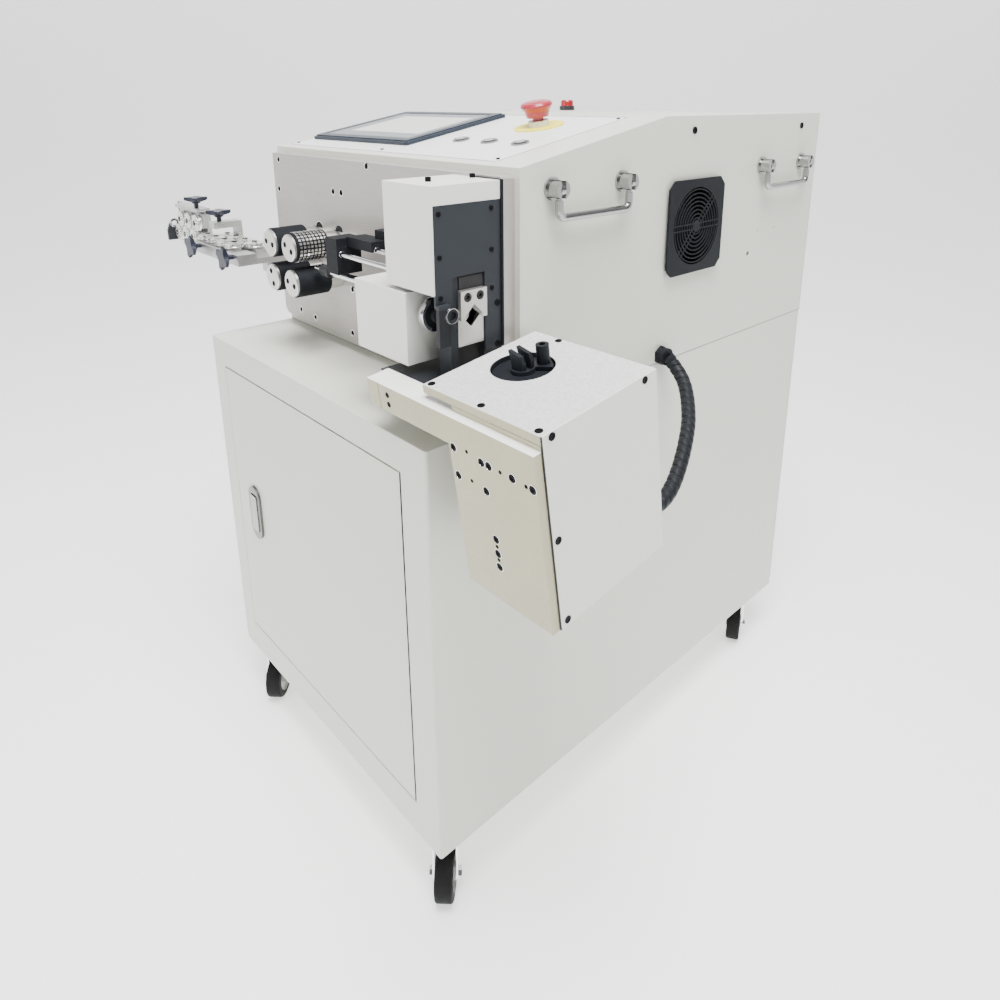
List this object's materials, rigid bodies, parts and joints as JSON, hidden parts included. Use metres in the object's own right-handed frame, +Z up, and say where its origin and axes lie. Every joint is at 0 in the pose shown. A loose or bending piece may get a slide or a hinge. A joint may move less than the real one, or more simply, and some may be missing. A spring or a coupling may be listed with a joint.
{
  "type": "automatic wire cutting, stripping and bending machine",
  "caption": "Castored cabinet with a sloping control housing, wire straightener, feed rollers, V-blade cutting head and a tilted side bending unit",
  "frame": {"origin": "on the floor under the middle of the machine's whole footprint", "axes": "+Z up, -Y towards the operator in front, +X to the operator's right, along the wire from the straightener to the bending unit"},
  "size_m": [1.1412, 0.8936, 1.083],
  "materials": {
    "powder_white": "fine powder coat, off-white",
    "panel_white": "fine powder coat, white",
    "bracket_cream": "satin, cream white",
    "plate_grey": "brushed, anodised grey",
    "speckled_top": "sand-blasted",
    "alloy": "milled",
    "slate": "dark anodised",
    "steel": "ground",
    "chromed": "polished",
    "black_plastic": "moulded",
    "knob_plastic": "moulded, blue-black",
    "screen": "dark, smooth",
    "stop_red": "moulded",
    "lamp_red": "translucent look",
    "collars": "ground rings, yellow stop ring",
    "roller_rubber": "smooth black",
    "castor_tyre": "black",
    "screw_black": "blackened",
    "hose_black": "spiral wrap"
  },
  "bodies": {
    "root": {"cabinet_shell": "powder_white", "door_hinges": "steel", "castor_plates": "chromed", "upper_housing": "powder_white", "control_panel": "panel_white", "touch_screen": "screen", "panel_collars": "collars", "signal_lamp": "lamp_red", "handle_bosses": "chromed", "fan_guard": "black_plastic", "mains_inlet": "black_plastic", "front_plate": "plate_grey", "fasteners": "screw_black", "drive_frame": "alloy", "head_body": "slate", "head_covers": "panel_white", "wire_guide": "black_plastic", "guide_tube": "chromed", "straightener_frame": "alloy", "bend_bracket": "bracket_cream", "bend_top": "speckled_top", "bend_box": "panel_white", "bend_core": "slate", "hose": "hose_black", "hose_glands": "black_plastic"},
    "front_door": {"cabinet_door": "powder_white", "latch_body": "chromed"},
    "latch_flap": {"latch_lever": "chromed"},
    "back_door": {"rear_door": "powder_white"},
    "fan": {"fan_rotor": "black_plastic"},
    "stop_button": {"estop_head": "stop_red"},
    "carriage": {"roller_carriage": "steel"},
    "upper_knife": {"upper_blade": "steel"},
    "lower_knife": {"lower_blade": "steel"},
    "flat_row": {"straightener_slide_h": "alloy"},
    "upright_row": {"straightener_slide_v": "alloy"},
    "bending_disc": {"bend_rotor": "slate"},
    "castor_fl": {"castor_fork_fl": "chromed"},
    "wheel_fl": {"castor_wheel_fl": "castor_tyre"},
    "castor_fr": {"castor_fork_fr": "chromed"},
    "wheel_fr": {"castor_wheel_fr": "castor_tyre"},
    "castor_rl": {"castor_fork_rl": "chromed"},
    "wheel_rl": {"castor_wheel_rl": "castor_tyre"},
    "castor_rr": {"castor_fork_rr": "chromed"},
    "wheel_rr": {"castor_wheel_rr": "castor_tyre"},
    "front_right_handle": {"handle_front_right": "chromed"},
    "rear_right_handle": {"handle_rear_right": "chromed"},
    "front_left_handle": {"handle_front_left": "chromed"},
    "rear_left_handle": {"handle_rear_left": "chromed"},
    "push_button_1": {"button_1": "steel"},
    "push_button_2": {"button_2": "steel"},
    "push_button_3": {"button_3": "steel"},
    "roller_ul": {"feed_roller_ul": "roller_rubber"},
    "roller_ur": {"feed_roller_ur": "roller_rubber"},
    "roller_ll": {"feed_roller_ll": "roller_rubber"},
    "roller_lr": {"feed_roller_lr": "roller_rubber"},
    "clamp_h1": {"knob_h1": "knob_plastic"},
    "clamp_h2": {"knob_h2": "knob_plastic"},
    "clamp_v1": {"knob_v1": "knob_plastic"},
    "clamp_v2": {"knob_v2": "knob_plastic"}
  },
  "joints": [
    {"name": "front_door_hinge", "type": "hinge", "parent": "root", "child": "front_door", "pos_m": [0.31985, -0.42616, 0.409], "axis": [0, 0, 1], "range_deg": [0, 110]},
    {"name": "latch_flip", "type": "hinge", "parent": "front_door", "child": "latch_flap", "pos_m": [-0.10815, -0.43456, 0.4465], "axis": [-1, 0, 0], "range_deg": [0, 60]},
    {"name": "back_door_hinge", "type": "hinge", "parent": "root", "child": "back_door", "pos_m": [0.3671, 0.44184, 0.405], "axis": [0, 0, 1], "range_deg": [-110, 0]},
    {"name": "fan_spin", "type": "hinge", "parent": "root", "child": "fan", "pos_m": [0.36485, 0.06484, 0.903], "axis": [1, 0, 0], "continuous": true},
    {"name": "stop_press", "type": "slide", "parent": "root", "child": "stop_button", "axis": [0, 0.1892, -0.9819], "range_m": [0, 0.005]},
    {"name": "carriage_lift", "type": "slide", "parent": "root", "child": "carriage", "axis": [0, 0, 1], "range_m": [-0.008, 0.005]},
    {"name": "blade_close", "type": "slide", "parent": "root", "child": "upper_knife", "axis": [0, 0, -1], "range_m": [0, 0.012]},
    {"name": "lower_blade_close", "type": "slide", "parent": "root", "child": "lower_knife", "axis": [0, 0, 1], "range_m": [0, 0.012]},
    {"name": "flat_row_adjust", "type": "slide", "parent": "root", "child": "flat_row", "axis": [0, 1, 0], "range_m": [-0.003, 0.003]},
    {"name": "upright_row_adjust", "type": "slide", "parent": "root", "child": "upright_row", "axis": [0, 0, 1], "range_m": [-0.003, 0.003]},
    {"name": "castor_fl_swivel", "type": "hinge", "parent": "root", "child": "castor_fl", "pos_m": [-0.17615, -0.38716, 0.097], "axis": [0, 0, 1], "continuous": true},
    {"name": "wheel_fl_roll", "type": "hinge", "parent": "castor_fl", "child": "wheel_fl", "pos_m": [-0.15918, -0.40413, 0.0375], "axis": [0.7071, 0.7071, 0], "continuous": true},
    {"name": "castor_fr_swivel", "type": "hinge", "parent": "root", "child": "castor_fr", "pos_m": [0.33585, -0.38716, 0.097], "axis": [0, 0, 1], "continuous": true},
    {"name": "wheel_fr_roll", "type": "hinge", "parent": "castor_fr", "child": "wheel_fr", "pos_m": [0.35282, -0.40413, 0.0375], "axis": [0.7071, 0.7071, 0], "continuous": true},
    {"name": "castor_rl_swivel", "type": "hinge", "parent": "root", "child": "castor_rl", "pos_m": [-0.17615, 0.37884, 0.097], "axis": [0, 0, 1], "continuous": true},
    {"name": "wheel_rl_roll", "type": "hinge", "parent": "castor_rl", "child": "wheel_rl", "pos_m": [-0.16488, 0.35765, 0.0375], "axis": [0.8829, 0.4695, 0], "continuous": true},
    {"name": "castor_rr_swivel", "type": "hinge", "parent": "root", "child": "castor_rr", "pos_m": [0.33585, 0.37884, 0.097], "axis": [0, 0, 1], "continuous": true},
    {"name": "wheel_rr_roll", "type": "hinge", "parent": "castor_rr", "child": "wheel_rr", "pos_m": [0.34712, 0.35765, 0.0375], "axis": [0.8829, 0.4695, 0], "continuous": true},
    {"name": "front_right_handle_fold", "type": "hinge", "parent": "root", "child": "front_right_handle", "pos_m": [0.39285, -0.16916, 0.98], "axis": [0, -1, 0], "range_deg": [0, 90]},
    {"name": "rear_right_handle_fold", "type": "hinge", "parent": "root", "child": "rear_right_handle", "pos_m": [0.39285, 0.31484, 0.98], "axis": [0, -1, 0], "range_deg": [0, 90]},
    {"name": "front_left_handle_fold", "type": "hinge", "parent": "root", "child": "front_left_handle", "pos_m": [-0.23315, -0.16916, 0.98], "axis": [0, 1, 0], "range_deg": [0, 90]},
    {"name": "rear_left_handle_fold", "type": "hinge", "parent": "root", "child": "rear_left_handle", "pos_m": [-0.23315, 0.31484, 0.98], "axis": [0, 1, 0], "range_deg": [0, 90]},
    {"name": "button_1_press", "type": "slide", "parent": "root", "child": "push_button_1", "axis": [0, 0.1892, -0.9819], "range_m": [0, 0.0025], "stiffness_N_per_m": 400, "springref_m": -0.001},
    {"name": "button_2_press", "type": "slide", "parent": "root", "child": "push_button_2", "axis": [0, 0.1892, -0.9819], "range_m": [0, 0.0025], "stiffness_N_per_m": 400, "springref_m": -0.001},
    {"name": "button_3_press", "type": "slide", "parent": "root", "child": "push_button_3", "axis": [0, 0.1892, -0.9819], "range_m": [0, 0.0025], "stiffness_N_per_m": 400, "springref_m": -0.001},
    {"name": "roller_ul_turn", "type": "hinge", "parent": "carriage", "child": "roller_ul", "pos_m": [-0.06715, -0.35316, 0.874], "axis": [0, 1, 0], "continuous": true},
    {"name": "roller_ur_turn", "type": "hinge", "parent": "carriage", "child": "roller_ur", "pos_m": [-0.00715, -0.35316, 0.874], "axis": [0, 1, 0], "continuous": true},
    {"name": "roller_ll_turn", "type": "hinge", "parent": "root", "child": "roller_ll", "pos_m": [-0.06715, -0.35316, 0.821], "axis": [0, 1, 0], "continuous": true},
    {"name": "roller_lr_turn", "type": "hinge", "parent": "root", "child": "roller_lr", "pos_m": [-0.00715, -0.35316, 0.821], "axis": [0, 1, 0], "continuous": true},
    {"name": "knob_h1_turn", "type": "hinge", "parent": "root", "child": "clamp_h1", "pos_m": [-0.33015, -0.40116, 0.835], "axis": [0, -1, 0], "range_deg": [0, 180]},
    {"name": "knob_h2_turn", "type": "hinge", "parent": "root", "child": "clamp_h2", "pos_m": [-0.19165, -0.40116, 0.835], "axis": [0, -1, 0], "range_deg": [0, 180]},
    {"name": "knob_v1_turn", "type": "hinge", "parent": "root", "child": "clamp_v1", "pos_m": [-0.44815, -0.34816, 0.9], "axis": [0, 0, 1], "range_deg": [0, 180]},
    {"name": "knob_v2_turn", "type": "hinge", "parent": "root", "child": "clamp_v2", "pos_m": [-0.33315, -0.35316, 0.89], "axis": [0, 0, 1], "range_deg": [0, 180]},
    {"name": "bend_turn", "type": "hinge", "parent": "root", "child": "bending_disc", "pos_m": [0.44785, -0.34608, 0.80308], "axis": [0, -0.1392, 0.9903], "range_deg": [-100, 100]}
  ],
  "couplings": [
    {"joint": "lower_blade_close", "follows": "blade_close", "ratio": 1},
    {"joint": "roller_lr_turn", "follows": "roller_ll_turn", "ratio": 1},
    {"joint": "roller_ul_turn", "follows": "roller_ll_turn", "ratio": -1},
    {"joint": "roller_ur_turn", "follows": "roller_ll_turn", "ratio": -1}
  ]
}
